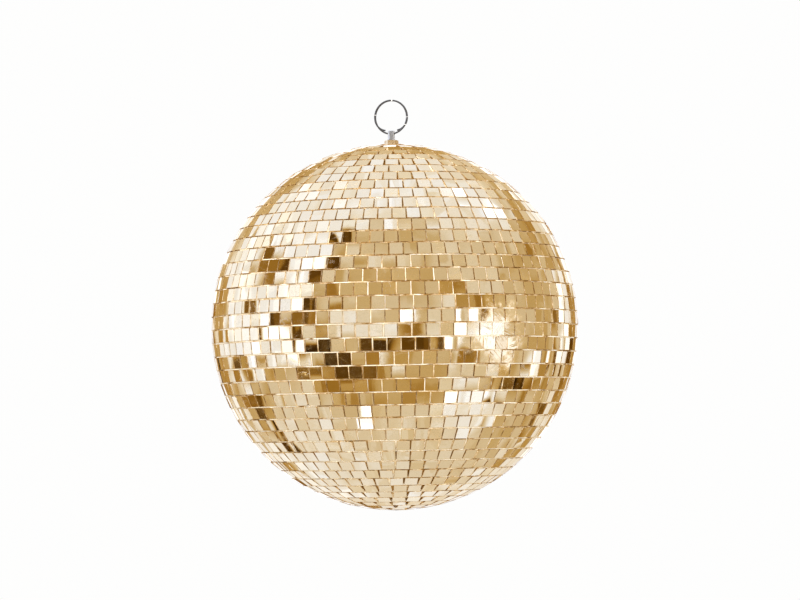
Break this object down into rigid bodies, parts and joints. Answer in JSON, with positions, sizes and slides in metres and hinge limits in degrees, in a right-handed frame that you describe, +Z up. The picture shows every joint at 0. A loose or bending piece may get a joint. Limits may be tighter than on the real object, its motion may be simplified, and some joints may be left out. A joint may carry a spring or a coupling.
{
  "type": "mirror ball",
  "caption": "Hanging mirror ball: a hollow two-part core clad in rows of small square gold mirror tiles, with a cross-drilled hanger pin, nut and swinging split ring.",
  "frame": {"origin": "centre of the ball", "axes": "+Z up along the hanger pin, which is the ball's spin axis; +X along the cross hole in the pin head, in the split ring's plane at rest"},
  "size_m": [0.2999, 0.2998, 0.3362],
  "materials": {
    "mirror_tile": "gold-tinted back-silvered glass",
    "backing_cloth": "thin woven cloth",
    "adhesive": "dried contact adhesive",
    "paper_tape": "creped paper tape",
    "core_plastic": "moulded styrene",
    "pin_steel": "turned zinc-plated steel",
    "ring_steel": "polished nickel-plated spring wire",
    "yellow_plated_nut": "yellow plated",
    "plate_steel": "zinc plated",
    "nylon": "nylon"
  },
  "bodies": {
    "ball": {"bottom_tile": "mirror_tile", "tile_row_01": "mirror_tile", "tile_row_02": "mirror_tile", "tile_row_03": "mirror_tile", "tile_row_04": "mirror_tile", "tile_row_05": "mirror_tile", "tile_row_06": "mirror_tile", "tile_row_07": "mirror_tile", "tile_row_08": "mirror_tile", "tile_row_09": "mirror_tile", "tile_row_10": "mirror_tile", "tile_row_11": "mirror_tile", "tile_row_12": "mirror_tile", "tile_row_13": "mirror_tile", "tile_row_14": "mirror_tile", "tile_row_15": "mirror_tile", "tile_row_16": "mirror_tile", "tile_row_17": "mirror_tile", "tile_row_18": "mirror_tile", "tile_row_19": "mirror_tile", "tile_row_20": "mirror_tile", "tile_row_21": "mirror_tile", "tile_row_22": "mirror_tile", "tile_row_23": "mirror_tile", "tile_row_24": "mirror_tile", "tile_row_25": "mirror_tile", "tile_row_26": "mirror_tile", "tile_row_27": "mirror_tile", "tile_row_28": "mirror_tile", "tile_row_29": "mirror_tile", "tile_row_30": "mirror_tile", "tile_row_31": "mirror_tile", "tile_row_32": "mirror_tile", "tile_row_33": "mirror_tile", "tile_row_34": "mirror_tile", "tile_row_35": "mirror_tile", "tile_row_36": "mirror_tile", "tile_row_37": "mirror_tile", "tile_row_38": "mirror_tile", "tile_row_39": "mirror_tile", "tile_row_40": "mirror_tile", "tile_row_41": "mirror_tile", "tile_row_42": "mirror_tile", "backing_strips": "backing_cloth", "glue_coat": "adhesive", "seam_tape": "paper_tape", "core_lower": "core_plastic", "core_upper": "core_plastic", "hanger_pin": "pin_steel", "top_nut": "yellow_plated_nut", "top_washer": "yellow_plated_nut", "spreader_plate": "plate_steel", "inner_washer": "plate_steel", "lock_nut": "plate_steel", "lock_nut_insert": "nylon"},
    "ring": {"split_ring": "ring_steel"}
  },
  "joints": [
    {"name": "ring_swing", "type": "hinge", "parent": "ball", "child": "ring", "pos_m": [0, 0, 0.15824], "axis": [1, 0, 0], "range_deg": [-105, 105]}
  ]
}
